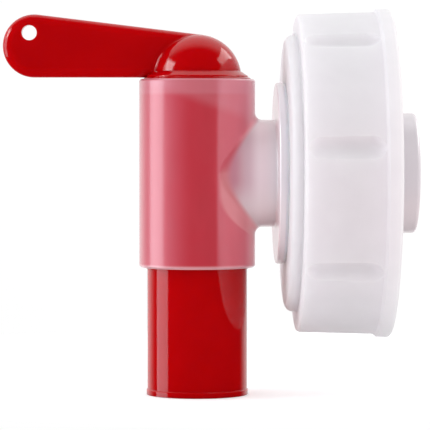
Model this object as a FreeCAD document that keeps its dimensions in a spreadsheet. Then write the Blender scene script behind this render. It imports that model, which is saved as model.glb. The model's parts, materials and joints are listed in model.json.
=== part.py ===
import FreeCAD, Part
import math
import os
import Sketcher

# Canister tap: a plug tap on a screw cap for canisters with a 61 mm mouth.
# The origin is on the cap's axis, in the plane where the cap gasket meets the canister's mouth.
# +X points into the canister, +Z points up and the tap's lever points along -X at rest.
# Lengths are in millimetres and angles in degrees.

document = FreeCAD.newDocument("CanisterTap")
sheet = document.addObject("Spreadsheet::Sheet", "Sizes")

# Each entry is an alias, its value and what it measures.
SIZES = [
    ("spigot_radius", 13.2, "outside of the threaded spigot, 3/4 inch pipe thread"),
    ("spigot_reach", 23.2, "seat plane to the spigot's free end"),
    ("spigot_rounding", 0.8, "rounded edge at the spigot's free end"),
    ("inlet_radius", 9.9, "bore of the spigot"),
    ("inlet_length", 18.0, "length of the spigot's straight bore"),
    ("neck_radius", 11.76, "outside of the neck between barrel and flange"),
    ("neck_bore_radius", 9.6, "bore of the neck"),
    ("neck_reach", 17.2, "barrel axis to the flange's outer face"),
    ("saddle_rounding", 1.6, "fillet where the neck meets the barrel"),
    ("flange_radius", 19.9, "outside of the flange"),
    ("flange_thickness", 1.4, "thickness of the flange"),
    ("flange_rounding", 0.45, "rounded edge of the flange"),
    ("flange_seal_thickness", 0.6, "seal between the flange and the cap"),
    ("flange_seal_inset", 0.2, "seal's edge inside the flange's edge"),
    ("barrel_radius", 12.75, "outside of the barrel"),
    ("barrel_top", 20.7, "top of the barrel above the cap's axis"),
    ("barrel_height", 41.3, "height of the barrel"),
    ("barrel_chamfer", 0.4, "chamfer on the barrel's outer edges"),
    ("bearing_radius", 11.2, "plug inside the barrel"),
    ("bearing_gap", 0.05, "radial running clearance of the plug"),
    ("relief_radius", 10.8, "plug above its bearing, round the upper sealing ring"),
    ("relief_length", 5.9, "bearing's upper end to the barrel's top"),
    ("window_radius", 7.0, "opening in the barrel's wall towards the neck"),
    ("window_wall", 0.8, "wall left outside the barrel around the window"),
    ("spout_radius", 11.0, "outside of the spout"),
    ("spout_end", 48.6, "spout's end below the cap's axis"),
    ("spout_bore_radius", 8.8, "bore of the spout"),
    ("spout_bore_length", 36.0, "length of the spout's straight bore"),
    ("spout_step_gap", 0.3, "barrel's bottom to the step between plug and spout"),
    ("foot_stand", 0.2, "foot ring's height above the spout's wall"),
    ("foot_length", 1.1, "foot ring's length at the spout's end"),
    ("chamber_radius", 8.6, "hollow of the plug"),
    ("chamber_cover", 2.2, "centre of the hollow's round end below the barrel's top"),
    ("port_radius", 7.0, "port in the plug's wall"),
    ("ring_section", 1.5, "cord diameter of the plug's sealing rings"),
    ("ring_seat_gap", 0.02, "sealing ring to its seat on either side"),
    ("ring_groove_width", 2.0, "width of a sealing ring's groove"),
    ("ring_inset", 3.2, "sealing ring's middle to the barrel's end"),
    ("catch_stand", 0.25, "catch bead's height on the plug"),
    ("catch_width", 0.6, "catch bead's width on the plug"),
    ("catch_inset", 1.2, "catch bead's middle to the barrel's bottom"),
    ("catch_gap", 0.1, "catch bead to its groove on every side"),
    ("collar_lip_radius", 11.75, "thin lip at the collar's foot, which covers the stop's recess"),
    ("collar_lip_height", 0.2, "height of the lip's edge"),
    ("collar_radius", 11.25, "collar's upright wall"),
    ("collar_wall_height", 0.65, "top of the collar's upright wall above the barrel"),
    ("collar_rounding", 0.3, "rounded edge between the collar's wall and its slope"),
    ("collar_top_radius", 9.6, "collar where it meets the dome"),
    ("collar_height", 1.75, "height of the collar"),
    ("dome_radius", 9.78, "dome over the plug"),
    ("dome_root_rounding", 1.0, "fillet between the dome and the lever's flat faces"),
    ("lever_thickness", 5.0, "thickness of the lever"),
    ("lever_gap", 0.3, "lever's underside above the barrel"),
    ("lever_end_radius", 6.92, "round end of the lever"),
    ("lever_reach", 35.67, "plug axis to the centre of the lever's round end"),
    ("lever_rounding", 2.1, "rounded edges of the lever"),
    ("eye_radius", 1.65, "hole in the lever's end"),
    ("eye_reach", 1.06, "hole's centre beyond the centre of the lever's round end"),
    ("eye_height", 2.85, "hole's centre above the centre of the lever's round end"),
    ("lever_swing", 90.0, "turn of the lever from open to shut"),
    ("stop_width", 24.0, "angle that the stop lug covers"),
    ("stop_slack", 1.5, "angle left free at each end of the stop's recess"),
    ("stop_bearing", 90.0, "direction of the stop lug from +X, open"),
    ("stop_radius", 11.6, "outside of the stop lug"),
    ("stop_gap", 0.1, "stop lug to its recess"),
    ("stop_height", 1.6, "height of the stop lug under the collar"),
    ("cap_top_thickness", 3.2, "top of the cap"),
    ("cap_hole_gap", 0.3, "radial clearance of the spigot in the cap's hole"),
    ("land_radius", 30.4, "raised land on the cap's top"),
    ("land_height", 2.5, "land above the cap's shoulder"),
    ("land_rounding", 1.7, "rounded edge of the land"),
    ("land_root_rounding", 0.3, "fillet at the foot of the land"),
    ("shoulder_radius", 34.9, "skirt at the cap's shoulder"),
    ("shoulder_rounding", 0.8, "rounded edge of the shoulder"),
    ("skirt_radius", 35.4, "skirt beside the rim bead"),
    ("skirt_depth", 17.3, "seat plane to the cap's rim"),
    ("bead_stand", 0.65, "rim bead's height above the skirt"),
    ("bead_length", 3.5, "length of the rim bead"),
    ("bead_rounding", 0.5, "rounded outer edge of the rim"),
    ("thread_space_radius", 30.6, "inside of the skirt at the thread's root"),
    ("rim_chamfer", 0.6, "lead-in inside the rim"),
    ("mouth_seat_radius", 28.8, "pocket that holds the cap gasket"),
    ("grip_count", 8, "scooped grips round the skirt"),
    ("grip_width", 5.0, "width of a grip at the skirt's surface"),
    ("grip_depth", 1.1, "depth of a grip"),
    ("grip_end_radius", 5.0, "curve in which a grip's floor rises to its ends"),
    ("grip_margin", 0.3, "grip's ends to the shoulder and to the rim bead"),
    ("grip_bearing", 9.8, "first grip's angle above the -Y direction"),
    ("gasket_thickness", 2.4, "thickness of the cap gasket"),
    ("gasket_inner_radius", 21.5, "hole of the cap gasket"),
    ("gasket_edge_gap", 0.2, "cap gasket's edge to its pocket"),
    ("washer_thickness", 1.0, "slip washer under the lock nut"),
    ("washer_radius", 19.4, "outside of the slip washer"),
    ("washer_gap", 0.25, "slip washer's hole round the spigot"),
    ("nut_length", 15.0, "length of the lock nut"),
    ("nut_gap", 0.05, "lock nut's bore round the spigot"),
    ("nut_flange_radius", 20.2, "flange and lugs of the lock nut"),
    ("nut_flange_thickness", 3.0, "flange of the lock nut"),
    ("nut_hub_radius", 16.6, "hub of the lock nut"),
    ("nut_lug_count", 6, "lugs that turn the lock nut"),
    ("nut_lug_width", 4.0, "width of a lug"),
    ("nut_edge_chamfer", 0.6, "chamfer on the lock nut's outer edges"),
]
for row, (alias, number, meaning) in enumerate(SIZES, start=1):
    sheet.set(f"A{row}", alias)
    sheet.set(f"B{row}", str(number))
    sheet.set(f"C{row}", meaning)
    sheet.setAlias(f"B{row}", alias)
document.recompute()

# Planes and radii worked out from the sizes, as expressions.
# An X name is a distance along the cap's axis, a Z name a height and an R name a radius.
X_INSIDE = "-Sizes.gasket_thickness"
X_LAND = f"({X_INSIDE} - Sizes.cap_top_thickness)"
X_SHOULDER = f"({X_LAND} + Sizes.land_height)"
X_RIM = "Sizes.skirt_depth"
X_BEAD = f"({X_RIM} - Sizes.bead_length)"
X_FLANGE_INNER = f"({X_LAND} - Sizes.flange_seal_thickness)"
X_FLANGE_OUTER = f"({X_FLANGE_INNER} - Sizes.flange_thickness)"
X_BARREL = f"({X_FLANGE_OUTER} - Sizes.neck_reach)"
X_WINDOW = f"({X_BARREL} + Sizes.barrel_radius + Sizes.window_wall)"
X_SPIGOT_END = "Sizes.spigot_reach"
X_INLET_STEP = f"({X_SPIGOT_END} - Sizes.inlet_length)"
X_NUT = f"({X_INSIDE} + Sizes.washer_thickness)"
X_NUT_FLANGE = f"({X_NUT} + Sizes.nut_flange_thickness)"
X_NUT_END = f"({X_NUT} + Sizes.nut_length)"
R_CAP_HOLE = "(Sizes.spigot_radius + Sizes.cap_hole_gap)"
R_RIM = "(Sizes.skirt_radius + Sizes.bead_stand)"
R_BARREL_BORE = "(Sizes.bearing_radius + Sizes.bearing_gap)"
R_RING_OUTER = f"({R_BARREL_BORE} - Sizes.ring_seat_gap)"
R_GROOVE_FLOOR = f"({R_RING_OUTER} - Sizes.ring_section - Sizes.ring_seat_gap)"
R_CATCH = "(Sizes.bearing_radius + Sizes.catch_stand)"
Z_BARREL_TOP = "Sizes.barrel_top"
Z_BARREL_BOTTOM = f"({Z_BARREL_TOP} - Sizes.barrel_height)"
Z_SPOUT_END = "-Sizes.spout_end"
Z_SPOUT_STEP = f"({Z_BARREL_BOTTOM} - Sizes.spout_step_gap)"
Z_UPPER_RING = f"({Z_BARREL_TOP} - Sizes.ring_inset)"
Z_LOWER_RING = f"({Z_BARREL_BOTTOM} + Sizes.ring_inset)"
Z_CATCH = f"({Z_BARREL_BOTTOM} + Sizes.catch_inset)"
Z_RELIEF = f"({Z_BARREL_TOP} - Sizes.relief_length)"
Z_LEVER = f"({Z_BARREL_TOP} + Sizes.lever_gap)"
Z_LEVER_END = f"({Z_LEVER} + Sizes.lever_end_radius)"
Z_CHAMBER_END = f"({Z_BARREL_TOP} - Sizes.chamber_cover)"

# Profiles overshoot a face by this much where they cut through it.
OVERSHOOT = "1"
# Edges are told apart by these distances, and the curved line of the saddle by the second.
MATCH = 1e-4
NEAR = 0.01


def value(expression):
    """The number that an expression over the sheet gives."""
    result = sheet.evalExpression(expression)
    return float(getattr(result, "Value", result))


def new_body(label):
    """An empty body whose label names the sub-part."""
    body = document.addObject("PartDesign::Body", label)
    body.Label = label
    return body


def origin_plane(body, role):
    """The body's own origin plane or axis with this role."""
    return next(item for item in body.Origin.OriginFeatures if item.Role == role)


def new_sketch(body, role, name, height="0"):
    """A sketch on one of the body's origin planes, lifted along the plane's normal."""
    sketch = body.newObject("Sketcher::SketchObject", name)
    sketch.AttachmentSupport = [(origin_plane(body, role), "")]
    sketch.MapMode = "FlatFace"
    if height != "0":
        sketch.setExpression("AttachmentOffset.Base.z", height)
    return sketch


def tie_point(sketch, geometry, end, across, up):
    """Hold one point of the sketch at two expressions measured from its origin."""
    for kind, axis, expression in (("DistanceX", -2, across), ("DistanceY", -1, up)):
        if expression == "0":
            sketch.addConstraint(Sketcher.Constraint("PointOnObject", geometry, end, axis))
            continue
        index = sketch.addConstraint(
            Sketcher.Constraint(kind, -1, 1, geometry, end, value(expression))
        )
        sketch.setExpression(f"Constraints[{index}]", expression)


def tie_radius(sketch, geometry, expression):
    """Hold a circle's or an arc's radius at an expression."""
    index = sketch.addConstraint(Sketcher.Constraint("Radius", geometry, value(expression)))
    sketch.setExpression(f"Constraints[{index}]", expression)


def outline(sketch, corners):
    """A closed outline of straight lines through corners, each held at its expressions."""
    points = [FreeCAD.Vector(value(across), value(up), 0) for across, up in corners]
    lines = [
        sketch.addGeometry(Part.LineSegment(start, points[(i + 1) % len(points)]), False)
        for i, start in enumerate(points)
    ]
    for i, line in enumerate(lines):
        following = lines[(i + 1) % len(lines)]
        sketch.addConstraint(Sketcher.Constraint("Coincident", line, 2, following, 1))
        tie_point(sketch, line, 1, *corners[i])
    return lines


def circle(sketch, radius, across="0", up="0"):
    """A circle held at its centre and radius."""
    centre = FreeCAD.Vector(value(across), value(up), 0)
    normal = FreeCAD.Vector(0, 0, 1)
    geometry = sketch.addGeometry(Part.Circle(centre, normal, value(radius)), False)
    if (across, up) == ("0", "0"):
        sketch.addConstraint(Sketcher.Constraint("Coincident", geometry, 3, -1, 1))
    else:
        tie_point(sketch, geometry, 3, across, up)
    tie_radius(sketch, geometry, radius)
    return geometry


def revolve(body, kind, name, sketch, axis):
    """Turn a sketch fully round one of the body's axes, adding or cutting."""
    feature = body.newObject(f"PartDesign::{kind}", name)
    feature.Profile = sketch
    feature.ReferenceAxis = (origin_plane(body, axis), [""])
    feature.Angle = 360
    sketch.Visibility = False
    document.recompute()
    return feature


def pad(body, name, sketch, length, symmetric=False):
    """Raise a sketch along its normal, or both ways by half the length."""
    feature = body.newObject("PartDesign::Pad", name)
    feature.Profile = sketch
    feature.setExpression("Length", length)
    feature.SideType = "Symmetric" if symmetric else "One side"
    document.recompute()
    return feature


def cut_through(body, name, sketch):
    """Cut a sketch right through the body, both ways."""
    feature = body.newObject("PartDesign::Pocket", name)
    feature.Profile = sketch
    feature.Type = "ThroughAll"
    feature.SideType = "Symmetric"
    document.recompute()
    return feature


def polar(body, name, feature, axis, count):
    """Repeat a feature evenly round one of the body's axes."""
    pattern = body.newObject("PartDesign::PolarPattern", name)
    pattern.Originals = [feature]
    pattern.Axis = (origin_plane(body, axis), [""])
    pattern.Angle = 360
    pattern.setExpression("Occurrences", count)
    body.Tip = pattern
    document.recompute()
    return pattern


def round_edges_at(shape, places, axis):
    """Names of the circular edges that lie at (distance along the axis, radius)."""
    wanted = [(value(along), value(radius)) for along, radius in places]
    names = []
    for number, edge in enumerate(shape.Edges, start=1):
        if not isinstance(edge.Curve, Part.Circle):
            continue
        along = edge.Curve.Center.dot(axis)
        radius = edge.Curve.Radius
        if any(abs(along - a) < MATCH and abs(radius - r) < MATCH for a, r in wanted):
            names.append(f"Edge{number}")
    return names


def blend(body, kind, name, edges, size):
    """Fillet or chamfer the named edges of the body's last feature."""
    base = body.Tip
    feature = body.newObject(f"PartDesign::{kind}", name)
    feature.Base = (base, edges)
    feature.setExpression("Radius" if kind == "Fillet" else "Size", size)
    document.recompute()
    return feature


ALONG_X = FreeCAD.Vector(1, 0, 0)
ALONG_Z = FreeCAD.Vector(0, 0, 1)


def rod_outline(sketch, start, end, height, radius, end_radius):
    """Half section of a rod with slender ends that lies along X, with its axis as Axis0.

    The ends' arcs touch the rod's side where it starts and ends, and run up to its axis.
    """
    first, last, level, reach = value(start), value(end), value(height), value(radius)
    nose = value(end_radius)
    centre_height = f"({height} - {radius} + {end_radius})"
    middle_level = value(centre_height)
    facing = FreeCAD.Vector(0, 0, 1)
    first_circle = Part.Circle(FreeCAD.Vector(first, middle_level, 0), facing, nose)
    last_circle = Part.Circle(FreeCAD.Vector(last, middle_level, 0), facing, nose)
    rise = math.asin((nose - reach) / nose)
    tail = FreeCAD.Vector(first - nose * math.cos(rise), level, 0)
    head = FreeCAD.Vector(last + nose * math.cos(rise), level, 0)
    low_first = FreeCAD.Vector(first, level - reach, 0)
    low_last = FreeCAD.Vector(last, level - reach, 0)
    first_arc = sketch.addGeometry(
        Part.ArcOfCircle(first_circle, math.pi + rise, 1.5 * math.pi), False
    )
    side = sketch.addGeometry(Part.LineSegment(low_first, low_last), False)
    last_arc = sketch.addGeometry(
        Part.ArcOfCircle(last_circle, 1.5 * math.pi, 2 * math.pi - rise), False
    )
    middle = sketch.addGeometry(Part.LineSegment(head, tail), False)
    axis = sketch.addGeometry(Part.LineSegment(head, tail), True)
    sketch.addConstraint(Sketcher.Constraint("Tangent", first_arc, 2, side, 1))
    sketch.addConstraint(Sketcher.Constraint("Tangent", side, 2, last_arc, 1))
    sketch.addConstraint(Sketcher.Constraint("Coincident", last_arc, 2, middle, 1))
    sketch.addConstraint(Sketcher.Constraint("Coincident", middle, 2, first_arc, 1))
    sketch.addConstraint(Sketcher.Constraint("Coincident", axis, 1, middle, 1))
    sketch.addConstraint(Sketcher.Constraint("Coincident", axis, 2, middle, 2))
    sketch.addConstraint(Sketcher.Constraint("Equal", first_arc, last_arc))
    tie_point(sketch, first_arc, 3, start, centre_height)
    tie_point(sketch, last_arc, 3, end, centre_height)
    tie_radius(sketch, first_arc, end_radius)
    sketch.addConstraint(Sketcher.Constraint("Horizontal", middle))
    along = sketch.addConstraint(Sketcher.Constraint("DistanceY", -1, 1, middle, 1, level))
    sketch.setExpression(f"Constraints[{along}]", height)


def make_screw_cap():
    """Cap with a raised land, a drafted skirt, a rim bead and scooped grips."""
    body = new_body("screw_cap")
    section = new_sketch(body, "XZ_Plane", "CapSection")
    outline(section, [
        (X_LAND, R_CAP_HOLE),
        (X_LAND, "Sizes.land_radius"),
        (X_SHOULDER, "Sizes.land_radius"),
        (X_SHOULDER, "Sizes.shoulder_radius"),
        (X_BEAD, "Sizes.skirt_radius"),
        (f"({X_BEAD} + Sizes.bead_stand)", R_RIM),
        (X_RIM, R_RIM),
        (X_RIM, "(Sizes.thread_space_radius + Sizes.rim_chamfer)"),
        (f"({X_RIM} - Sizes.rim_chamfer)", "Sizes.thread_space_radius"),
        ("0", "Sizes.thread_space_radius"),
        ("0", "Sizes.mouth_seat_radius"),
        (X_INSIDE, "Sizes.mouth_seat_radius"),
        (X_INSIDE, R_CAP_HOLE),
    ])
    turned = revolve(body, "Revolution", "CapTurned", section, "X_Axis")
    for name, along, radius, size in (
        ("LandEdge", X_LAND, "Sizes.land_radius", "Sizes.land_rounding"),
        ("LandRoot", X_SHOULDER, "Sizes.land_radius", "Sizes.land_root_rounding"),
        ("ShoulderEdge", X_SHOULDER, "Sizes.shoulder_radius", "Sizes.shoulder_rounding"),
        ("RimEdge", X_RIM, R_RIM, "Sizes.bead_rounding"),
    ):
        edges = round_edges_at(body.Tip.Shape, [(along, radius)], ALONG_X)
        blend(body, "Fillet", name, edges, size)
    # A grip is the cut of a slender rod that lies along the skirt, sunk by the grip's depth.
    # Its radius follows from the width and depth that the cut shows at the skirt's surface,
    # and its floor rises over the end run to the skirt's surface.
    rod_radius = "((Sizes.grip_width ^ 2 / 4 + Sizes.grip_depth ^ 2) / (2 * Sizes.grip_depth))"
    rod_height = (
        f"((Sizes.shoulder_radius + Sizes.skirt_radius) / 2 - Sizes.grip_depth + {rod_radius})"
    )
    end_run = (
        "((2 * Sizes.grip_end_radius * Sizes.grip_depth - Sizes.grip_depth ^ 2) ^ 0.5)"
    )
    rod_start = f"({X_SHOULDER} + Sizes.grip_margin + {end_run})"
    rod_end = f"({X_BEAD} - Sizes.grip_margin - {end_run})"
    scoop_sketch = new_sketch(body, "XZ_Plane", "GripSection")
    rod_outline(
        scoop_sketch, rod_start, rod_end, rod_height, rod_radius, "Sizes.grip_end_radius"
    )
    scoop = body.newObject("PartDesign::Groove", "GripCut")
    scoop.Profile = scoop_sketch
    scoop.ReferenceAxis = (scoop_sketch, ["Axis0"])
    scoop.Angle = 360
    document.recompute()
    polar(body, "Grips", scoop, "X_Axis", "Sizes.grip_count")
    body.Placement.Rotation = FreeCAD.Rotation(ALONG_X, 1)
    body.setExpression("Placement.Rotation.Angle", "90 - Sizes.grip_bearing")
    document.recompute()
    if not body.Shape.Volume < turned.Shape.Volume:
        raise ValueError("the grips cut nothing from the cap")
    return body


def make_tap_body():
    """Barrel, neck, flange and threaded spigot, moulded in one piece."""
    body = new_body("tap_body")
    section = new_sketch(body, "XZ_Plane", "NeckSection")
    outline(section, [
        (X_BARREL, "0"),
        (X_BARREL, "Sizes.neck_radius"),
        (X_FLANGE_OUTER, "Sizes.neck_radius"),
        (X_FLANGE_OUTER, "Sizes.flange_radius"),
        (X_FLANGE_INNER, "Sizes.flange_radius"),
        (X_FLANGE_INNER, "Sizes.spigot_radius"),
        (X_SPIGOT_END, "Sizes.spigot_radius"),
        (X_SPIGOT_END, "0"),
    ])
    revolve(body, "Revolution", "NeckTurned", section, "X_Axis")
    for name, places, size in (
        (
            "FlangeEdges",
            [(X_FLANGE_OUTER, "Sizes.flange_radius"), (X_FLANGE_OUTER, "Sizes.neck_radius")],
            "Sizes.flange_rounding",
        ),
        ("SpigotEdge", [(X_SPIGOT_END, "Sizes.spigot_radius")], "Sizes.spigot_rounding"),
    ):
        blend(body, "Fillet", name, round_edges_at(body.Tip.Shape, places, ALONG_X), size)
    barrel_sketch = new_sketch(body, "XY_Plane", "BarrelSection", Z_BARREL_BOTTOM)
    circle(barrel_sketch, "Sizes.barrel_radius", X_BARREL)
    pad(body, "Barrel", barrel_sketch, "Sizes.barrel_height")
    blend(body, "Fillet", "Saddle", saddle_edges(body.Tip.Shape), "Sizes.saddle_rounding")
    ends = [(Z_BARREL_TOP, "Sizes.barrel_radius"), (Z_BARREL_BOTTOM, "Sizes.barrel_radius")]
    edges = round_edges_at(body.Tip.Shape, ends, ALONG_Z)
    blend(body, "Chamfer", "BarrelEdges", edges, "Sizes.barrel_chamfer")
    solid_volume = body.Shape.Volume
    bore_sketch = new_sketch(body, "XY_Plane", "BarrelBoreSection")
    circle(bore_sketch, R_BARREL_BORE, X_BARREL)
    cut_through(body, "BarrelBore", bore_sketch)
    passage = new_sketch(body, "XZ_Plane", "PassageSection")
    outline(passage, [
        (X_BARREL, "0"),
        (X_BARREL, "Sizes.window_radius"),
        (X_WINDOW, "Sizes.window_radius"),
        (X_WINDOW, "Sizes.neck_bore_radius"),
        (X_INLET_STEP, "Sizes.neck_bore_radius"),
        (X_INLET_STEP, "Sizes.inlet_radius"),
        (f"({X_SPIGOT_END} + {OVERSHOOT})", "Sizes.inlet_radius"),
        (f"({X_SPIGOT_END} + {OVERSHOOT})", "0"),
    ])
    revolve(body, "Groove", "Passage", passage, "X_Axis")
    catch_cut = new_sketch(body, "XZ_Plane", "CatchGrooveSection")
    half_width = "(Sizes.catch_width / 2 + Sizes.catch_gap)"
    low_x = f"({X_BARREL} + {R_BARREL_BORE} - {OVERSHOOT})"
    deep_x = f"({X_BARREL} + {R_CATCH} + Sizes.catch_gap)"
    outline(catch_cut, [
        (low_x, f"({Z_CATCH} - {half_width})"),
        (deep_x, f"({Z_CATCH} - {half_width})"),
        (deep_x, f"({Z_CATCH} + {half_width})"),
        (low_x, f"({Z_CATCH} + {half_width})"),
    ])
    middle = catch_cut.addGeometry(
        Part.LineSegment(
            FreeCAD.Vector(value(X_BARREL), value(Z_BARREL_BOTTOM), 0),
            FreeCAD.Vector(value(X_BARREL), value(Z_BARREL_TOP), 0),
        ),
        True,
    )
    tie_point(catch_cut, middle, 1, X_BARREL, Z_BARREL_BOTTOM)
    tie_point(catch_cut, middle, 2, X_BARREL, Z_BARREL_TOP)
    groove = body.newObject("PartDesign::Groove", "CatchGroove")
    groove.Profile = catch_cut
    groove.ReferenceAxis = (catch_cut, ["Axis0"])
    groove.Angle = 360
    document.recompute()
    recess = body.newObject("PartDesign::SubtractiveCylinder", "StopRecess")
    recess.AttachmentSupport = [(origin_plane(body, "XY_Plane"), "")]
    recess.MapMode = "FlatFace"
    recess.setExpression("Radius", "Sizes.stop_radius + Sizes.stop_gap")
    recess.setExpression("Height", f"Sizes.stop_height + Sizes.stop_gap + {OVERSHOOT}")
    sweep = "Sizes.lever_swing + Sizes.stop_width + 2 * Sizes.stop_slack"
    recess.setExpression("Angle", sweep)
    recess.setExpression("AttachmentOffset.Base.x", X_BARREL)
    recess.setExpression(
        "AttachmentOffset.Base.z", f"{Z_BARREL_TOP} - Sizes.stop_height - Sizes.stop_gap"
    )
    recess.setExpression(
        "AttachmentOffset.Rotation.Angle",
        "Sizes.stop_bearing - Sizes.stop_width / 2 - Sizes.stop_slack",
    )
    document.recompute()
    if not body.Shape.Volume < solid_volume:
        raise ValueError("the bores cut nothing from the tap's body")
    return body


def saddle_edges(shape):
    """Names of the edges where the neck runs into the barrel's wall."""
    axis_x = value(X_BARREL)
    neck = value("Sizes.neck_radius")
    barrel = value("Sizes.barrel_radius")
    names = []
    for number, edge in enumerate(shape.Edges, start=1):
        span = edge.LastParameter - edge.FirstParameter
        points = [edge.valueAt(edge.FirstParameter + span * part) for part in (0.2, 0.5, 0.8)]
        on_neck = all(abs((p.y ** 2 + p.z ** 2) ** 0.5 - neck) < NEAR for p in points)
        on_barrel = all(
            abs(((p.x - axis_x) ** 2 + p.y ** 2) ** 0.5 - barrel) < NEAR for p in points
        )
        if on_neck and on_barrel:
            names.append(f"Edge{number}")
    return names


def lever_outline(sketch):
    """The lever's outline: a round end, a flat underside and a top edge that meets the dome.

    The top edge is the common tangent of the round end and of the dome's outline.
    """
    end_x = -value("Sizes.lever_reach")
    end_z = value(Z_LEVER_END)
    end_radius = value("Sizes.lever_end_radius")
    dome_z = value(Z_BARREL_TOP)
    dome_radius = value("Sizes.dome_radius")
    underside = value(Z_LEVER)
    centres = FreeCAD.Vector(-end_x, dome_z - end_z, 0)
    turned = FreeCAD.Vector(-centres.y, centres.x, 0)
    share = (end_radius - dome_radius) / centres.Length
    rise = (1 - share ** 2) ** 0.5
    normal = (centres * share + turned * rise) / centres.Length
    end_top = FreeCAD.Vector(end_x, end_z, 0) + normal * end_radius
    dome_top = FreeCAD.Vector(0, dome_z, 0) + normal * dome_radius
    end_low = FreeCAD.Vector(end_x, underside, 0)
    root_low = FreeCAD.Vector(0, underside, 0)
    end_centre = FreeCAD.Vector(end_x, end_z, 0)
    end_circle = Part.Circle(end_centre, FreeCAD.Vector(0, 0, 1), end_radius)
    top_angle = math.atan2(normal.y, normal.x)
    top = sketch.addGeometry(Part.LineSegment(end_top, dome_top), False)
    inner = sketch.addGeometry(Part.LineSegment(dome_top, root_low), False)
    low = sketch.addGeometry(Part.LineSegment(root_low, end_low), False)
    end_arc = Part.ArcOfCircle(end_circle, top_angle, 1.5 * math.pi)
    end = sketch.addGeometry(end_arc, False)
    centre = FreeCAD.Vector(0, dome_z, 0)
    spoke = sketch.addGeometry(Part.LineSegment(centre, dome_top), True)
    sketch.addConstraint(Sketcher.Constraint("Coincident", top, 2, inner, 1))
    sketch.addConstraint(Sketcher.Constraint("Coincident", inner, 2, low, 1))
    sketch.addConstraint(Sketcher.Constraint("Tangent", end, 1, top, 1))
    sketch.addConstraint(Sketcher.Constraint("Tangent", end, 2, low, 2))
    sketch.addConstraint(Sketcher.Constraint("Coincident", spoke, 2, top, 2))
    sketch.addConstraint(Sketcher.Constraint("Perpendicular", spoke, top))
    tie_point(sketch, spoke, 1, "0", Z_BARREL_TOP)
    length = sketch.addConstraint(Sketcher.Constraint("Distance", spoke, dome_radius))
    sketch.setExpression(f"Constraints[{length}]", "Sizes.dome_radius")
    tie_point(sketch, end, 3, "-Sizes.lever_reach", Z_LEVER_END)
    tie_radius(sketch, end, "Sizes.lever_end_radius")
    tie_point(sketch, low, 1, "0", Z_LEVER)


def dome_root_edges(shape):
    """Names of the arcs where the dome meets the lever's two flat faces."""
    half = value("Sizes.lever_thickness / 2")
    reach = value("(Sizes.dome_radius ^ 2 - Sizes.lever_thickness ^ 2 / 4) ^ 0.5")
    names = []
    for number, edge in enumerate(shape.Edges, start=1):
        if not isinstance(edge.Curve, Part.Circle):
            continue
        on_face = abs(abs(edge.Curve.Center.y) - half) < MATCH
        if on_face and abs(edge.Curve.Radius - reach) < MATCH:
            names.append(f"Edge{number}")
    return names


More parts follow.
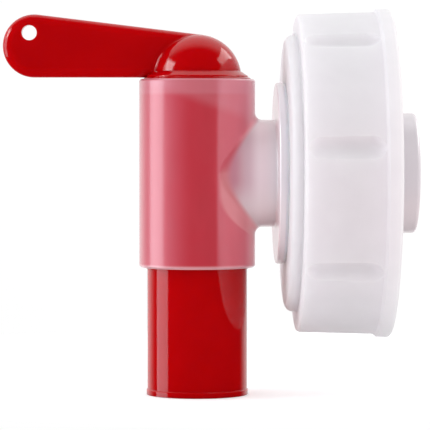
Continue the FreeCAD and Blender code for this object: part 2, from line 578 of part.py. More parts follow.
def make_valve_plug():
    """Lever, dome, collar, ported plug and spout, moulded in one piece round the Z axis."""
    body = new_body("valve_plug")
    body.setExpression("Placement.Base.x", X_BARREL)
    lever_sketch = new_sketch(body, "XZ_Plane", "LeverOutline")
    lever_outline(lever_sketch)
    lever = pad(body, "Lever", lever_sketch, "Sizes.lever_thickness", symmetric=True)
    half = value("Sizes.lever_thickness / 2")
    rims = [
        f"Edge{number}"
        for number, edge in enumerate(lever.Shape.Edges, start=1)
        if all(abs(abs(vertex.Point.y) - half) < MATCH for vertex in edge.Vertexes)
        and edge.Vertexes[0].Point.y * edge.Vertexes[-1].Point.y > 0
        and edge.CenterOfMass.x < -MATCH
    ]
    blend(body, "Fillet", "LeverEdges", rims, "Sizes.lever_rounding")
    plug_section = new_sketch(body, "XZ_Plane", "PlugSection")
    bearing = "Sizes.bearing_radius"
    relief = "Sizes.relief_radius"
    spout = "Sizes.spout_radius"
    foot = f"({spout} + Sizes.foot_stand)"
    foot_top = f"({Z_SPOUT_END} + Sizes.foot_length)"
    groove_half = "Sizes.ring_groove_width / 2"
    catch_half = "Sizes.catch_width / 2"
    lip = "Sizes.collar_lip_radius"
    lip_top = f"({Z_BARREL_TOP} + Sizes.collar_lip_height)"
    wall_top = f"({Z_BARREL_TOP} + Sizes.collar_wall_height)"
    collar_top = f"({Z_BARREL_TOP} + Sizes.collar_height)"
    outline(plug_section, [
        ("0", Z_SPOUT_END),
        (foot, Z_SPOUT_END),
        (foot, foot_top),
        (spout, f"({foot_top} + Sizes.foot_stand)"),
        (spout, Z_SPOUT_STEP),
        (bearing, Z_SPOUT_STEP),
        (bearing, f"({Z_CATCH} - {catch_half})"),
        (R_CATCH, f"({Z_CATCH} - {catch_half} + Sizes.catch_stand / 2)"),
        (R_CATCH, f"({Z_CATCH} + {catch_half} - Sizes.catch_stand / 2)"),
        (bearing, f"({Z_CATCH} + {catch_half})"),
        (bearing, f"({Z_LOWER_RING} - {groove_half})"),
        (R_GROOVE_FLOOR, f"({Z_LOWER_RING} - {groove_half})"),
        (R_GROOVE_FLOOR, f"({Z_LOWER_RING} + {groove_half})"),
        (bearing, f"({Z_LOWER_RING} + {groove_half})"),
        (bearing, Z_RELIEF),
        (relief, Z_RELIEF),
        (relief, f"({Z_UPPER_RING} - {groove_half})"),
        (R_GROOVE_FLOOR, f"({Z_UPPER_RING} - {groove_half})"),
        (R_GROOVE_FLOOR, f"({Z_UPPER_RING} + {groove_half})"),
        (relief, f"({Z_UPPER_RING} + {groove_half})"),
        (relief, Z_BARREL_TOP),
        (lip, Z_BARREL_TOP),
        (lip, lip_top),
        ("Sizes.collar_radius", f"({lip_top} + ({lip} - Sizes.collar_radius) / 2)"),
        ("Sizes.collar_radius", wall_top),
        ("Sizes.collar_top_radius", collar_top),
        ("0", collar_top),
    ])
    revolve(body, "Revolution", "Plug", plug_section, "Z_Axis")
    wall_edge = round_edges_at(body.Tip.Shape, [(wall_top, "Sizes.collar_radius")], ALONG_Z)
    blend(body, "Fillet", "CollarEdge", wall_edge, "Sizes.collar_rounding")
    dome = body.newObject("PartDesign::AdditiveSphere", "Dome")
    dome.AttachmentSupport = [(origin_plane(body, "XY_Plane"), "")]
    dome.MapMode = "FlatFace"
    dome.setExpression("Radius", "Sizes.dome_radius")
    dome.Angle1 = 0
    dome.setExpression("AttachmentOffset.Base.z", Z_BARREL_TOP)
    document.recompute()
    blend(body, "Fillet", "DomeRoot", dome_root_edges(body.Tip.Shape), "Sizes.dome_root_rounding")
    lug = body.newObject("PartDesign::AdditiveCylinder", "StopLug")
    lug.AttachmentSupport = [(origin_plane(body, "XY_Plane"), "")]
    lug.MapMode = "FlatFace"
    lug.setExpression("Radius", "Sizes.stop_radius")
    lug.setExpression("Height", "Sizes.stop_height")
    lug.setExpression("Angle", "Sizes.stop_width")
    lug.setExpression("AttachmentOffset.Base.z", f"{Z_BARREL_TOP} - Sizes.stop_height")
    lug.setExpression(
        "AttachmentOffset.Rotation.Angle", "Sizes.stop_bearing - Sizes.stop_width / 2"
    )
    document.recompute()
    full_volume = body.Shape.Volume
    core_section = new_sketch(body, "XZ_Plane", "CoreSection")
    core_outline(core_section)
    revolve(body, "Groove", "Core", core_section, "Z_Axis")
    port_sketch = new_sketch(body, "YZ_Plane", "PortSection")
    circle(port_sketch, "Sizes.port_radius")
    port = body.newObject("PartDesign::Pocket", "Port")
    port.Profile = port_sketch
    port.Type = "ThroughAll"
    port.Reversed = True
    document.recompute()
    eye_sketch = new_sketch(body, "XZ_Plane", "EyeSection")
    eye_x = "(-Sizes.lever_reach - Sizes.eye_reach)"
    eye_z = f"({Z_LEVER_END} + Sizes.eye_height)"
    circle(eye_sketch, "Sizes.eye_radius", eye_x, eye_z)
    cut_through(body, "Eye", eye_sketch)
    if not body.Shape.Volume < full_volume:
        raise ValueError("the hollow and the port cut nothing from the plug")
    return body


def core_outline(sketch):
    """Half section of the plug's hollow: straight spout bore, chamber and round upper end."""
    spout_bore = "Sizes.spout_bore_radius"
    chamber = "Sizes.chamber_radius"
    step = f"({Z_SPOUT_END} + Sizes.spout_bore_length)"
    mouth = f"({Z_SPOUT_END} - {OVERSHOOT})"
    top = f"({Z_CHAMBER_END} + {chamber})"
    corners = [
        ("0", mouth),
        (spout_bore, mouth),
        (spout_bore, step),
        (chamber, step),
        (chamber, Z_CHAMBER_END),
    ]
    points = [FreeCAD.Vector(value(across), value(up), 0) for across, up in corners]
    crown = FreeCAD.Vector(0, value(top), 0)
    lines = [
        sketch.addGeometry(Part.LineSegment(start, stop), False)
        for start, stop in zip(points, points[1:])
    ]
    centre = FreeCAD.Vector(0, value(Z_CHAMBER_END), 0)
    full_circle = Part.Circle(centre, FreeCAD.Vector(0, 0, 1), value(chamber))
    arc = sketch.addGeometry(Part.ArcOfCircle(full_circle, 0, math.pi / 2), False)
    axis_line = sketch.addGeometry(Part.LineSegment(crown, points[0]), False)
    for before, after in zip(lines, lines[1:]):
        sketch.addConstraint(Sketcher.Constraint("Coincident", before, 2, after, 1))
    sketch.addConstraint(Sketcher.Constraint("Coincident", lines[-1], 2, arc, 1))
    sketch.addConstraint(Sketcher.Constraint("Coincident", arc, 2, axis_line, 1))
    sketch.addConstraint(Sketcher.Constraint("Coincident", axis_line, 2, lines[0], 1))
    for line, corner in zip(lines, corners):
        tie_point(sketch, line, 1, *corner)
    tie_point(sketch, lines[-1], 2, *corners[-1])
    tie_point(sketch, arc, 3, "0", Z_CHAMBER_END)
    sketch.addConstraint(Sketcher.Constraint("PointOnObject", arc, 2, -2))


def make_ring(label, inner, outer, start, thickness):
    """A flat ring round the cap's axis."""
    body = new_body(label)
    sketch = new_sketch(body, "YZ_Plane", f"{label}_section", start)
    circle(sketch, inner)
    circle(sketch, outer)
    pad(body, f"{label}_pad", sketch, thickness)
    return body


def make_sealing_ring(label, height):
    """A sealing ring of round section in one of the plug's grooves."""
    ring = document.addObject("Part::Torus", label)
    ring.Label = label
    ring.setExpression("Radius1", f"{R_RING_OUTER} - Sizes.ring_section / 2")
    ring.setExpression("Radius2", "Sizes.ring_section / 2")
    ring.setExpression("Placement.Base.x", X_BARREL)
    ring.setExpression("Placement.Base.z", height)
    return ring


def make_lock_nut():
    """Flanged nut with lugs, which clamps the cap against the tap's flange."""
    body = new_body("lock_nut")
    section = new_sketch(body, "XZ_Plane", "NutSection")
    bore = "(Sizes.spigot_radius + Sizes.nut_gap)"
    outline(section, [
        (X_NUT, bore),
        (X_NUT, "Sizes.nut_flange_radius"),
        (X_NUT_FLANGE, "Sizes.nut_flange_radius"),
        (X_NUT_FLANGE, "Sizes.nut_hub_radius"),
        (X_NUT_END, "Sizes.nut_hub_radius"),
        (X_NUT_END, bore),
    ])
    revolve(body, "Revolution", "NutTurned", section, "X_Axis")
    edges = round_edges_at(
        body.Tip.Shape,
        [(X_NUT, "Sizes.nut_flange_radius"), (X_NUT_END, "Sizes.nut_hub_radius")],
        ALONG_X,
    )
    blend(body, "Chamfer", "NutEdges", edges, "Sizes.nut_edge_chamfer")
    lug_sketch = new_sketch(body, "XY_Plane", "LugOutline", "-Sizes.nut_lug_width / 2")
    overlap_radius = "(Sizes.nut_hub_radius + Sizes.spigot_radius) / 2"
    lug_slope = "(Sizes.nut_flange_radius - Sizes.nut_hub_radius)"
    outline(lug_sketch, [
        (X_NUT_FLANGE, overlap_radius),
        (X_NUT_FLANGE, "Sizes.nut_flange_radius"),
        (f"({X_NUT_END} - {lug_slope})", "Sizes.nut_flange_radius"),
        (f"({X_NUT_END} - Sizes.nut_edge_chamfer)", "Sizes.nut_hub_radius"),
        (f"({X_NUT_END} - Sizes.nut_edge_chamfer)", overlap_radius),
    ])
    lug = pad(body, "Lug", lug_sketch, "Sizes.nut_lug_width")
    polar(body, "Lugs", lug, "X_Axis", "Sizes.nut_lug_count")
    return body


subparts = [
    make_screw_cap(),
    make_tap_body(),
    make_valve_plug(),
    make_sealing_ring("plug_o_ring_upper", Z_UPPER_RING),
    make_sealing_ring("plug_o_ring_lower", Z_LOWER_RING),
    make_ring(
        "cap_gasket",
        "Sizes.gasket_inner_radius",
        "Sizes.mouth_seat_radius - Sizes.gasket_edge_gap",
        X_INSIDE,
        "Sizes.gasket_thickness",
    ),
    make_ring(
        "flange_seal",
        "Sizes.spigot_radius + Sizes.washer_gap",
        "Sizes.flange_radius - Sizes.flange_seal_inset",
        X_FLANGE_INNER,
        "Sizes.flange_seal_thickness",
    ),
    make_ring(
        "slip_washer",
        "Sizes.spigot_radius + Sizes.washer_gap",
        "Sizes.washer_radius",
        X_INSIDE,
        "Sizes.washer_thickness",
    ),
    make_lock_nut(),
]
document.recompute()

for item in document.Objects:
    if {"Invalid", "Error"} & set(item.State):
        raise ValueError(f"{item.Label} failed to build: {item.State}")
for part in subparts:
    if part.Shape.isNull() or not part.Shape.isValid():
        raise ValueError(f"{part.Label} has no valid shape")
    if len(part.Shape.Solids) != 1:
        raise ValueError(f"{part.Label} has {len(part.Shape.Solids)} solids, not one")

os.makedirs("parts", exist_ok=True)
for part in subparts:
    part.Shape.exportStep(f"parts/{part.Label}.step")
    size = part.Shape.BoundBox
    print(
        f"{part.Label}: {part.Shape.Volume:.1f} mm3,",
        f"x {size.XMin:.2f} to {size.XMax:.2f},",
        f"y {size.YMin:.2f} to {size.YMax:.2f},",
        f"z {size.ZMin:.2f} to {size.ZMax:.2f}",
    )
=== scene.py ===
"""Looks of a canister tap: a glossy red lever plug in a milky barrel on a milky screw cap."""

import json
import math

import bpy
import numpy as np
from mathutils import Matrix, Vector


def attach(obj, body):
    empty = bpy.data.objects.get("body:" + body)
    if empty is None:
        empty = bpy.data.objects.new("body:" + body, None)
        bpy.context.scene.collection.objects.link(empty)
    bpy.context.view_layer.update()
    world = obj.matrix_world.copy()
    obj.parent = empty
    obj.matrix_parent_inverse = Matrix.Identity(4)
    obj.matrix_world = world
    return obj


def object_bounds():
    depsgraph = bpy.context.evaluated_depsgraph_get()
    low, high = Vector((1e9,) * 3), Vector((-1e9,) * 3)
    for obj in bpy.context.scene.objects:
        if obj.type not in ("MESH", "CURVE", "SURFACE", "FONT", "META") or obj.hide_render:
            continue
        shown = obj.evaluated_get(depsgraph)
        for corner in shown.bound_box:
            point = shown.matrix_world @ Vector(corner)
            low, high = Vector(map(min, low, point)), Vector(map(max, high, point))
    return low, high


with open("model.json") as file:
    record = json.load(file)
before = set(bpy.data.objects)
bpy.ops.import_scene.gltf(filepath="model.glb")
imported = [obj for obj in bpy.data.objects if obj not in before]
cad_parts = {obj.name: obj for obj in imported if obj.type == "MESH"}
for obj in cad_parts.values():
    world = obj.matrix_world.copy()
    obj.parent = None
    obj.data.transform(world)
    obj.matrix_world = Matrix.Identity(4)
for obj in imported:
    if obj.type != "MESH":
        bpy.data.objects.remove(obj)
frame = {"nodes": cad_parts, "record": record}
cad_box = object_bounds()

MM = 0.001
# The barrel and the plug share an upright axis at this x.
PLUG_X = next(
    joint["pos_m"][0]
    for joint in frame["record"]["behaviour"]["joints"]
    if joint["name"] == "lever_turn"
)


# Nodes and materials


def linear(hex_colour):
    """sRGB hex to linear RGBA: each channel is c/12.92 below 0.04045, else ((c+0.055)/1.055)^2.4."""
    channels = [int(hex_colour[i:i + 2], 16) / 255 for i in (1, 3, 5)]
    return tuple(
        c / 12.92 if c <= 0.04045 else ((c + 0.055) / 1.055) ** 2.4 for c in channels
    ) + (1.0,)


def add_node(tree, kind, values=None, links=None, **settings):
    """Add a node with its settings, its sockets' values and its incoming links."""
    made = tree.nodes.new(kind)
    for name, setting in settings.items():
        setattr(made, name, setting)
    for socket, number in (values or {}).items():
        made.inputs[socket].default_value = number
    for socket, source in (links or {}).items():
        tree.links.new(source, made.inputs[socket])
    return made


def new_material(name):
    """An empty node material and its output."""
    material = bpy.data.materials.new(name)
    material.use_nodes = True
    tree = material.node_tree
    tree.nodes.clear()
    return material, tree, add_node(tree, "ShaderNodeOutputMaterial")


def red_polyethylene():
    """Polyethylene coloured right through, injection moulded against a polished tool.

    It gives a deep even red, sharp highlights and a barely rippled skin. Only red light gets a few
    millimetres into it.
    """
    material, tree, output = new_material("Red polyethylene, injection moulded, polished tool")
    place = add_node(tree, "ShaderNodeTexCoord").outputs["Object"]
    # Melt streaks about 6 mm long make the red a shade darker here and there.
    streaks = add_node(
        tree, "ShaderNodeTexNoise", {"Scale": 1 / (6 * MM), "Detail": 3.0}, {"Vector": place}
    )
    colour = add_node(
        tree, "ShaderNodeMix",
        {"A": linear("#B70108"), "B": linear("#C50309")},
        {"Factor": streaks.outputs["Fac"]},
        data_type="RGBA",
    )
    # The skin dulls in patches of about 2 mm, where it left the tool.
    dull = add_node(
        tree, "ShaderNodeTexNoise", {"Scale": 1 / (2 * MM), "Detail": 4.0}, {"Vector": place}
    )
    roughness = add_node(
        tree, "ShaderNodeMapRange", {"To Min": 0.07, "To Max": 0.11}, {"Value": dull.outputs["Fac"]}
    )
    # Shrinkage ripple 3 mm across and a few micrometres high.
    ripple = add_node(
        tree, "ShaderNodeTexNoise", {"Scale": 1 / (3 * MM), "Detail": 2.0}, {"Vector": place}
    )
    bump = add_node(
        tree, "ShaderNodeBump",
        {"Strength": 0.25, "Distance": 0.02 * MM},
        {"Height": ripple.outputs["Fac"]},
    )
    surface = add_node(
        tree, "ShaderNodeBsdfPrincipled",
        {
            "IOR": 1.5,
            "Specular IOR Level": 0.4,
            "Subsurface Weight": 1.0,
            "Subsurface Radius": (1.0, 0.04, 0.04),
            "Subsurface Scale": 3 * MM,
        },
        {
            "Base Color": colour.outputs["Result"],
            "Roughness": roughness.outputs["Result"],
            "Normal": bump.outputs["Normal"],
        },
    )
    tree.links.new(surface.outputs["BSDF"], output.inputs["Surface"])
    return material


def natural_polyethylene(name, colour_hex, shade_hex, over_plug=False):
    """Unpigmented polyethylene, injection moulded: milky, faintly lilac, with a satin skin.

    Light enters it and comes out several millimetres away, which softens its edges. Over the plug
    the red behind the wall shows through instead, less so towards the neck, with painted light and
    a painted glow laid on it, and the smoother skin has a glossier coat and pale grazing edges.
    """
    material, tree, output = new_material(name)
    place = add_node(tree, "ShaderNodeTexCoord").outputs["Object"]
    # Crystals and melt flow cloud the plastic in patches of about 5 mm.
    clouds = add_node(
        tree, "ShaderNodeTexNoise", {"Scale": 1 / (5 * MM), "Detail": 3.0}, {"Vector": place}
    )
    milk = add_node(
        tree, "ShaderNodeMix",
        {"A": linear(shade_hex), "B": linear(colour_hex)},
        {"Factor": clouds.outputs["Fac"]},
        data_type="RGBA",
    )
    colour = milk.outputs["Result"]
    if over_plug:
        colour = red_behind(tree, place, colour)
    # Fine satin texture of the tool, drawn at 0.4 mm, coarser than it is, so that it shows.
    grain = add_node(
        tree, "ShaderNodeTexNoise", {"Scale": 1 / (0.4 * MM), "Detail": 2.0}, {"Vector": place}
    )
    bump = add_node(
        tree, "ShaderNodeBump",
        {"Strength": 0.2, "Distance": 0.01 * MM},
        {"Height": grain.outputs["Fac"]},
    )
    # The barrel's tool was smoother than the cap's.
    smoothest = 0.28 if over_plug else 0.40
    spread = 0.15
    roughness = add_node(
        tree, "ShaderNodeMapRange",
        {"To Min": smoothest, "To Max": smoothest + spread},
        {"Value": clouds.outputs["Fac"]},
    )
    surface = add_node(
        tree, "ShaderNodeBsdfPrincipled",
        {
            "IOR": 1.51,
            "Specular IOR Level": 0.7 if over_plug else 0.2,
            "Coat Weight": 1.0 if over_plug else 0.0,
            "Coat Roughness": 0.18,
            "Sheen Weight": 0.35 if over_plug else 0.0,
            "Sheen Roughness": 0.35,
            "Sheen Tint": linear("#FFE3EA"),
            "Subsurface Weight": 0.0 if over_plug else 1.0,
            "Subsurface Radius": (1.0, 0.97, 1.0),
            "Subsurface Scale": 7 * MM,
        },
        {
            "Base Color": colour,
            "Roughness": roughness.outputs["Result"],
            "Normal": bump.outputs["Normal"],
        },
    )
    tree.links.new(surface.outputs["BSDF"], output.inputs["Surface"])
    return material


def lay_on(tree, colour, layers):
    """The colour with further ones laid on it, one after the other. Each is a hex or a socket.

    A layer is (tint, measure, full, none, strength): it has its whole strength where the measure
    is full millimetres, and from there on, and fades to nothing at none millimetres.
    """
    for tint, measure, full, none, strength in layers:
        share = add_node(
            tree, "ShaderNodeMapRange",
            {"From Min": full * MM, "From Max": none * MM, "To Min": strength, "To Max": 0.0},
            {"Value": measure},
            interpolation_type="SMOOTHSTEP",
        )
        paints = {"A": colour, "B": tint}
        fixed = {end: linear(paint) for end, paint in paints.items() if isinstance(paint, str)}
        linked = {end: paint for end, paint in paints.items() if end not in fixed}
        colour = add_node(
            tree, "ShaderNodeMix", fixed,
            {"Factor": share.outputs["Result"], **linked},
            data_type="RGBA",
        ).outputs["Result"]
    return colour


def red_behind(tree, place, milk):
    """The milky colour with the red plug showing through, painted by how far the plug is, with
    painted light and glow laid on.

    The measures are lengths in the barrel's own frame, whose x runs across from the plug's axis
    towards the neck: reach is hypot(x, y), across is x, height is z, slanted is z + slant x, and
    under_neck is hypot(min(x - neck_side, 0), y, z z / bulge) + lean max(z, 0).
    """
    neck_side = 6 * MM  # how far across the glow under the saddle goes round the neck
    bulge = MM / 0.06  # the smaller it is, the closer the glow keeps to the neck's height
    lean = 0.3  # the glow shows more below the neck than above it
    slant = 0.35  # rise of the milky band at the barrel's top
    axis = add_node(tree, "ShaderNodeMapping", {"Location": (-PLUG_X, 0, 0)}, {"Vector": place})
    split = add_node(tree, "ShaderNodeSeparateXYZ", links={"Vector": axis.outputs["Vector"]})
    across, height = split.outputs["X"], split.outputs["Z"]
    short = add_node(tree, "ShaderNodeMath", {1: neck_side}, {0: across}, operation="SUBTRACT")
    away = add_node(
        tree, "ShaderNodeMath", {1: 0.0}, {0: short.outputs[0]}, operation="MINIMUM"
    )
    squared = add_node(tree, "ShaderNodeMath", links={0: height, 1: height}, operation="MULTIPLY")
    flattened = add_node(
        tree, "ShaderNodeMath", {1: bulge}, {0: squared.outputs[0]}, operation="DIVIDE"
    )
    reach, round_neck = (
        add_node(
            tree, "ShaderNodeVectorMath",
            links={0: add_node(tree, "ShaderNodeCombineXYZ", links=along).outputs["Vector"]},
            operation="LENGTH",
        ).outputs["Value"]
        for along in (
            {"X": across, "Y": split.outputs["Y"]},
            {"X": away.outputs[0], "Y": split.outputs["Y"], "Z": flattened.outputs[0]},
        )
    )
    raised = add_node(tree, "ShaderNodeMath", {1: 0.0}, {0: height}, operation="MAXIMUM")
    under_neck = add_node(
        tree, "ShaderNodeMath", {1: lean}, {0: raised.outputs[0], 2: round_neck},
        operation="MULTIPLY_ADD",
    ).outputs[0]
    slanted = add_node(
        tree, "ShaderNodeMath", {1: slant}, {0: across, 2: height}, operation="MULTIPLY_ADD"
    ).outputs[0]
    # The melt clouds the wall in patches 4 mm across and three times as long up the barrel.
    stretched = add_node(
        tree, "ShaderNodeMapping", {"Scale": (1.0, 1.0, 0.33)}, {"Vector": place}
    )
    melt = add_node(
        tree, "ShaderNodeTexNoise", {"Scale": 1 / (4 * MM), "Detail": 2.0},
        {"Vector": stretched.outputs["Vector"]},
    )
    wall = add_node(
        tree, "ShaderNodeMix",
        {"A": linear("#CB1D33"), "B": linear("#D4273E")},
        {"Factor": melt.outputs["Fac"]},
        data_type="RGBA",
    ).outputs["Result"]
    wall = lay_on(tree, wall, (
        # Painted light: paler where light comes in from the neck and the cap, a pale painted rim
        # towards the neck, and a paler side towards -x painted where the left lamp falls.
        ("#EC94A6", across, 4.6, 3.6, 0.26),
        ("#EC94A6", across, 12.5, 7.0, 0.36),
        ("#FFB4BC", across, 12.4, 10.0, 0.90),
        ("#DA8CA0", across, -8.0, -1.0, 0.26),
        # The milky band round the slimmer end of the plug.
        ("#E0A3B0", slanted, 17.5, 14.5, 0.22),
        ("#E0A3B0", height, 17.9, 16.9, 0.20),
        # Painted light: a pale band at the lower edge, where light leaves the wall, and a painted
        # glow under the saddle.
        ("#FFD2D8", height, -20.4, -19.6, 0.65),
        ("#F2B3B3", under_neck, 11.6, 12.3, 0.40),
    ))
    # The saddle and the neck are paler towards the flange, and their underside is painted
    # lighter, as painted light from below.
    neck = lay_on(tree, "#CE8797", (
        ("#DAB6C0", across, 10.9, 7.4, 1.0),
        ("#F4DFE5", across, 13.6, 10.4, 1.0),
        (milk, across, 18.2, 13.6, 1.0),
        ("#FFF2F4", height, -8.5, -1.0, 0.65),
    ))
    # They begin outside the barrel's wall.
    return lay_on(tree, wall, ((neck, reach, 14.0, 12.9, 1.0),))


def nitrile_rubber():
    """Nitrile rubber cord rings, moulded and trimmed: matt, nearly black red."""
    material, tree, output = new_material("Nitrile rubber, moulded rings")
    place = add_node(tree, "ShaderNodeTexCoord").outputs["Object"]
    bloom = add_node(
        tree, "ShaderNodeTexNoise", {"Scale": 1 / (0.6 * MM), "Detail": 3.0}, {"Vector": place}
    )
    colour = add_node(
        tree, "ShaderNodeMix",
        {"A": linear("#3A0B0E"), "B": linear("#55151A")},
        {"Factor": bloom.outputs["Fac"]},
        data_type="RGBA",
    )
    surface = add_node(
        tree, "ShaderNodeBsdfPrincipled",
        {"Roughness": 0.62, "IOR": 1.52},
        {"Base Color": colour.outputs["Result"]},
    )
    tree.links.new(surface.outputs["BSDF"], output.inputs["Surface"])
    return material


def silicone_rubber():
    """Silicone sheet, die cut: milky white with a soft sheen."""
    material, tree, output = new_material("Silicone rubber sheet, die cut")
    place = add_node(tree, "ShaderNodeTexCoord").outputs["Object"]
    haze = add_node(
        tree, "ShaderNodeTexNoise", {"Scale": 1 / (1.5 * MM), "Detail": 2.0}, {"Vector": place}
    )
    colour = add_node(
        tree, "ShaderNodeMix",
        {"A": linear("#E6E2E6"), "B": linear("#F1EEF1")},
        {"Factor": haze.outputs["Fac"]},
        data_type="RGBA",
    )
    surface = add_node(
        tree, "ShaderNodeBsdfPrincipled",
        {"Roughness": 0.45, "IOR": 1.41, "Subsurface Weight": 0.2, "Subsurface Scale": 1 * MM},
        {"Base Color": colour.outputs["Result"]},
    )
    tree.links.new(surface.outputs["BSDF"], output.inputs["Surface"])
    return material


def polyethylene_foam():
    """Closed-cell polyethylene foam sheet, die cut: white, matt, with cells 0.5 mm across."""
    material, tree, output = new_material("Polyethylene foam sheet, closed cell, die cut")
    place = add_node(tree, "ShaderNodeTexCoord").outputs["Object"]
    cells = add_node(
        tree, "ShaderNodeTexVoronoi", {"Scale": 1 / (0.5 * MM)}, {"Vector": place}
    )
    colour = add_node(
        tree, "ShaderNodeMix",
        {"A": linear("#E9E8E3"), "B": linear("#D2D0CB")},
        {"Factor": cells.outputs["Distance"]},
        data_type="RGBA",
    )
    bump = add_node(
        tree, "ShaderNodeBump",
        {"Strength": 0.6, "Distance": 0.08 * MM},
        {"Height": cells.outputs["Distance"]},
        invert=True,
    )
    surface = add_node(
        tree, "ShaderNodeBsdfPrincipled",
        {"Roughness": 0.85, "IOR": 1.5, "Sheen Weight": 0.2},
        {"Base Color": colour.outputs["Result"], "Normal": bump.outputs["Normal"]},
    )
    tree.links.new(surface.outputs["BSDF"], output.inputs["Surface"])
    return material


# Pieces made here


def ribbed_bar(name, points):
    """A closed bar over a grid of points, shaped (rows, columns, 3).

    Each row is the outline of one section. Quads join neighbouring rows all the way round, and
    the first and last outlines are filled.
    """
    rows, columns = points.shape[:2]
    index = np.arange(rows * columns).reshape(rows, columns)
    following = np.roll(index, -1, axis=1)
    quads = np.stack([index[:-1], index[1:], following[1:], following[:-1]], axis=-1)
    faces = quads.reshape(-1, 4).tolist()
    faces += [index[0].tolist(), index[-1, ::-1].tolist()]
    mesh = bpy.data.meshes.new(name)
    mesh.from_pydata(points.reshape(-1, 3).tolist(), [], faces)
    mesh.update()
    made = bpy.data.objects.new(name, mesh)
    bpy.context.scene.collection.objects.link(made)
    return made


def cap_thread(wall_radius, start, pitch, turns, height, root, crest):
    """The cap's inner thread: a trapezoid profile carried along a right-handed helix.

    At turn angle t a profile point (a, h) lies at x = start + pitch t / 2 pi + w a, at radius
    wall - g h. Over a sixth of a turn at each end the height's share g runs from nearly nothing
    to 1 as a quarter sine wave, and the width's share w from about 0.4 to 1. The profile's foot
    lies a little inside the wall.
    """
    steps_per_turn, run_out, least, narrowest = 96, math.pi / 3, 0.04, 0.4
    foot = -0.05 * MM
    steps = int(turns * steps_per_turn) + 1
    angle = np.linspace(0, turns * 2 * math.pi, steps)[:, None]
    to_end = np.clip(np.minimum(angle, angle[-1] - angle) / run_out, least, 1)
    grown = np.sin(to_end * math.pi / 2)
    along = np.array([-root / 2, -crest / 2, crest / 2, root / 2])[None, :]
    inward = np.array([foot, height, height, foot])[None, :] * np.ones_like(angle)
    inward = np.where(inward > 0, inward * grown, inward)
    radius = wall_radius - inward
    widened = narrowest + (1 - narrowest) * grown
    x = start + pitch * angle / (2 * math.pi) + along * widened
    points = np.stack([x, radius * np.cos(angle), radius * np.sin(angle)], axis=-1)
    return ribbed_bar("cap_thread", points)


# Dressing

red = red_polyethylene()
milky = natural_polyethylene("Natural polyethylene, injection moulded, satin", "#EDEAEE", "#E6E3E7")
milky_over_red = natural_polyethylene(
    "Natural polyethylene, injection moulded over the red plug", "#F6F0F5", "#F0EAEF",
    over_plug=True,
)
milky_nut = natural_polyethylene("Natural polyethylene, moulded nut", "#CFCAD0", "#C8C3C9")
rubber = nitrile_rubber()
silicone = silicone_rubber()
foam = polyethylene_foam()

for node_name, material in {
    "screw_cap": milky,
    "tap_body": milky_over_red,
    "lock_nut": milky_nut,
    "valve_plug": red,
    "plug_o_ring_upper": rubber,
    "plug_o_ring_lower": rubber,
    "flange_seal": silicone,
    "slip_washer": milky_nut,
    "cap_gasket": foam,
}.items():
    mesh = frame["nodes"][node_name].data
    mesh.materials.clear()
    mesh.materials.append(material)

# A canister's coarse neck thread: it stands 1.25 mm proud of the wall, 4 mm from turn to turn.
thread = cap_thread(
    wall_radius=30.6 * MM, start=4.2 * MM, pitch=4.0 * MM, turns=2.3,
    height=1.25 * MM, root=2.6 * MM, crest=1.1 * MM,
)
thread.data.materials.append(milky)
thread.data.shade_smooth()
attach(thread, "cap")


# Studio


def make_floor(height, radius, middle, lifted):
    """A round pale table, lifted to white where it is seen, and a shadow still shows on it.

    Glossy reflections leave it out: the tap is photographed clear of its table.
    """
    sides = 96
    angle = np.linspace(0, 2 * math.pi, sides, endpoint=False)
    across = middle[0] + radius * np.cos(angle)
    along = middle[1] + radius * np.sin(angle)
    rim = np.stack([across, along, np.full(sides, height)], axis=-1)
    mesh = bpy.data.meshes.new("floor")
    mesh.from_pydata(rim.tolist(), [], [list(range(sides))])
    floor = bpy.data.objects.new("floor", mesh)
    bpy.context.scene.collection.objects.link(floor)
    material, tree, output = new_material("Matt white paper")
    paper = add_node(tree, "ShaderNodeBsdfDiffuse", {"Color": linear("#F2F2F2")})
    path = add_node(tree, "ShaderNodeLightPath")
    mirrored = add_node(
        tree, "ShaderNodeMath",
        links={0: path.outputs["Is Glossy Ray"], 1: path.outputs["Is Transmission Ray"]},
        operation="MAXIMUM",
    )
    seen = add_node(
        tree, "ShaderNodeMath",
        links={0: path.outputs["Is Camera Ray"], 1: mirrored.outputs[0]},
        operation="MAXIMUM",
    )
    lift_share = add_node(
        tree, "ShaderNodeMath", {1: lifted}, {0: seen.outputs[0]}, operation="MULTIPLY"
    )
    lift = add_node(
        tree, "ShaderNodeEmission", {"Color": (1, 1, 1, 1)}, {"Strength": lift_share.outputs[0]}
    )
    both = add_node(
        tree, "ShaderNodeAddShader", links={0: paper.outputs["BSDF"], 1: lift.outputs["Emission"]}
    )
    tree.links.new(both.outputs["Shader"], output.inputs["Surface"])
    mesh.materials.append(material)
    floor.visible_glossy = False


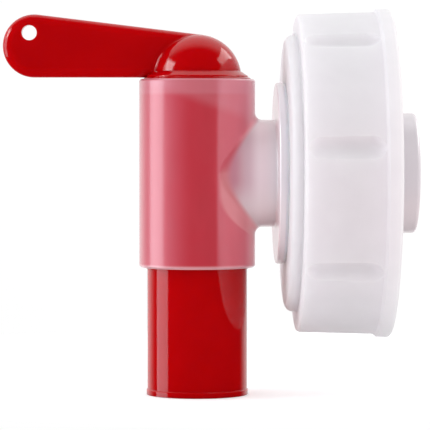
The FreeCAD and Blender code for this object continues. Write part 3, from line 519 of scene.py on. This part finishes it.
def make_world(level, from_below, warm, slope):
    """Even fill light, seen as white.

    The fill has its level at the horizon, is weaker and warmer from below, and slopes with the
    direction. In reflections only the white sweep shows, which rises behind the tap and ends
    overhead, and the side of the room towards -Y is dark.
    """
    behind_and_above = (0, 1, 0.5)
    sweep_begins, sweep_is_full, dark_room = 0.34, 0.78, 0.02
    warm_begins, warm_is_full = -0.1, -0.9
    world = bpy.data.worlds.new("studio")
    world.use_nodes = True
    bpy.context.scene.world = world
    tree = world.node_tree
    tree.nodes.clear()
    output = add_node(tree, "ShaderNodeOutputWorld")
    direction = add_node(tree, "ShaderNodeTexCoord").outputs["Generated"]
    split = add_node(tree, "ShaderNodeSeparateXYZ", links={"Vector": direction})
    backward = add_node(
        tree, "ShaderNodeVectorMath", {1: behind_and_above}, {0: direction},
        operation="DOT_PRODUCT",
    )
    sweep = add_node(
        tree, "ShaderNodeMapRange",
        {"From Min": sweep_begins, "From Max": sweep_is_full, "To Min": dark_room, "To Max": 1.0},
        {"Value": backward.outputs["Value"]},
        interpolation_type="SMOOTHSTEP",
    )
    rising = add_node(
        tree, "ShaderNodeMapRange",
        {"From Min": -1.0, "From Max": 0.0, "To Min": from_below, "To Max": level},
        {"Value": split.outputs["Z"]},
    )
    sloping = add_node(
        tree, "ShaderNodeVectorMath", {1: slope}, {0: direction}, operation="DOT_PRODUCT"
    )
    fill = add_node(
        tree, "ShaderNodeMath",
        links={0: rising.outputs["Result"], 1: sloping.outputs["Value"]},
        operation="ADD",
    )
    path = add_node(tree, "ShaderNodeLightPath")
    mirrored = add_node(
        tree, "ShaderNodeMath",
        links={0: path.outputs["Is Glossy Ray"], 1: path.outputs["Is Transmission Ray"]},
        operation="MAXIMUM",
    )
    lit = add_node(
        tree, "ShaderNodeMix",
        links={
            "Factor": mirrored.outputs[0], "A": fill.outputs[0], "B": sweep.outputs["Result"],
        },
    )
    seen = add_node(
        tree, "ShaderNodeMath",
        links={0: path.outputs["Is Camera Ray"], 1: lit.outputs["Result"]},
        operation="MAXIMUM",
    )
    below = add_node(
        tree, "ShaderNodeMapRange",
        {"From Min": warm_begins, "From Max": warm_is_full, "To Min": 0.0, "To Max": 1.0},
        {"Value": split.outputs["Z"]},
    )
    warmed = add_node(
        tree, "ShaderNodeMath",
        links={0: below.outputs["Result"], 1: path.outputs["Is Diffuse Ray"]},
        operation="MULTIPLY",
    )
    colour = add_node(
        tree, "ShaderNodeMix",
        {"A": linear("#FFFFFF"), "B": linear(warm)},
        {"Factor": warmed.outputs[0]},
        data_type="RGBA",
    )
    back = add_node(
        tree, "ShaderNodeBackground",
        links={"Color": colour.outputs["Result"], "Strength": seen.outputs[0]},
    )
    tree.links.new(back.outputs["Background"], output.inputs["Surface"])


def add_softbox(name, place, aim, size, radiance, tint="#FFFFFF", mirrored=False):
    """A rectangular lamp that faces a point. Its power is radiance times pi times its area.

    It lights the tap and isn't seen in its gloss, or where mirrored is true only the gloss
    shows it, as it shows a white card.
    """
    lamp = bpy.data.lights.new(name, "AREA")
    lamp.shape = "RECTANGLE"
    lamp.size, lamp.size_y = size
    lamp.energy = radiance * math.pi * lamp.size * lamp.size_y
    lamp.color = linear(tint)[:3]
    made = bpy.data.objects.new(name, lamp)
    bpy.context.scene.collection.objects.link(made)
    made.visible_diffuse = not mirrored
    made.visible_glossy = mirrored
    made.location = place
    toward = np.array(aim, float) - np.array(place, float)
    toward /= np.linalg.norm(toward)
    made.rotation_euler = (
        math.acos(-toward[2]),
        0,
        math.atan2(toward[1], toward[0]) - math.pi / 2,
    )


def add_camera():
    """The photograph's viewpoint: 0.59 m away, a little left of and above the cap's axis.

    The point straight ahead along +Y is up and to the left of the middle of the picture, by the
    pixels given here, and the lens makes the picture as large as its focal length in pixels says.
    """
    focal_pixels, pixels_right, pixels_down = 2700, 82, 95
    view = bpy.data.cameras.new("camera")
    view.sensor_width = 36
    view.lens = 226
    view.clip_start = 0.01
    made = bpy.data.objects.new("camera", view)
    bpy.context.scene.collection.objects.link(made)
    made.location = (-38.9 * MM, -593.5 * MM, 11.7 * MM)
    right, down = pixels_right / focal_pixels, pixels_down / focal_pixels
    made.rotation_euler = (
        math.pi / 2 - math.atan2(down, math.hypot(1, right)),
        0,
        -math.atan(right),
    )
    bpy.context.scene.camera = made


lowest = cad_box[0][2]
make_floor(height=lowest - 0.1 * MM, radius=0.12, middle=(-0.015, 0.06), lifted=0.4)
make_world(level=0.98, from_below=0.77, warm="#FFD8DF", slope=(0.17, 0.04, -0.06))
daylight = "#EEF6FF"
add_softbox(
    "softbox_left", place=(-0.85, -0.03, 0.15), aim=(-0.02, 0, 0), size=(0.5, 0.9),
    radiance=2.4, tint=daylight,
)
add_softbox(
    "sheet_left", place=(-0.86, 0.0, 0.15), aim=(-0.02, 0, 0), size=(0.56, 0.9),
    radiance=3.1, tint=daylight, mirrored=True,
)
add_softbox(
    "card_left", place=(-0.78, -0.03, 0.38), aim=(-0.02, 0, 0), size=(0.4, 0.25),
    radiance=4.8, mirrored=True,
)
add_softbox(
    "card_right", place=(0.68, 0.16, 0.54), aim=(-0.02, 0, 0.02), size=(0.85, 0.36),
    radiance=3.6, mirrored=True,
)
add_camera()
bpy.context.scene.view_settings.view_transform = "Standard"
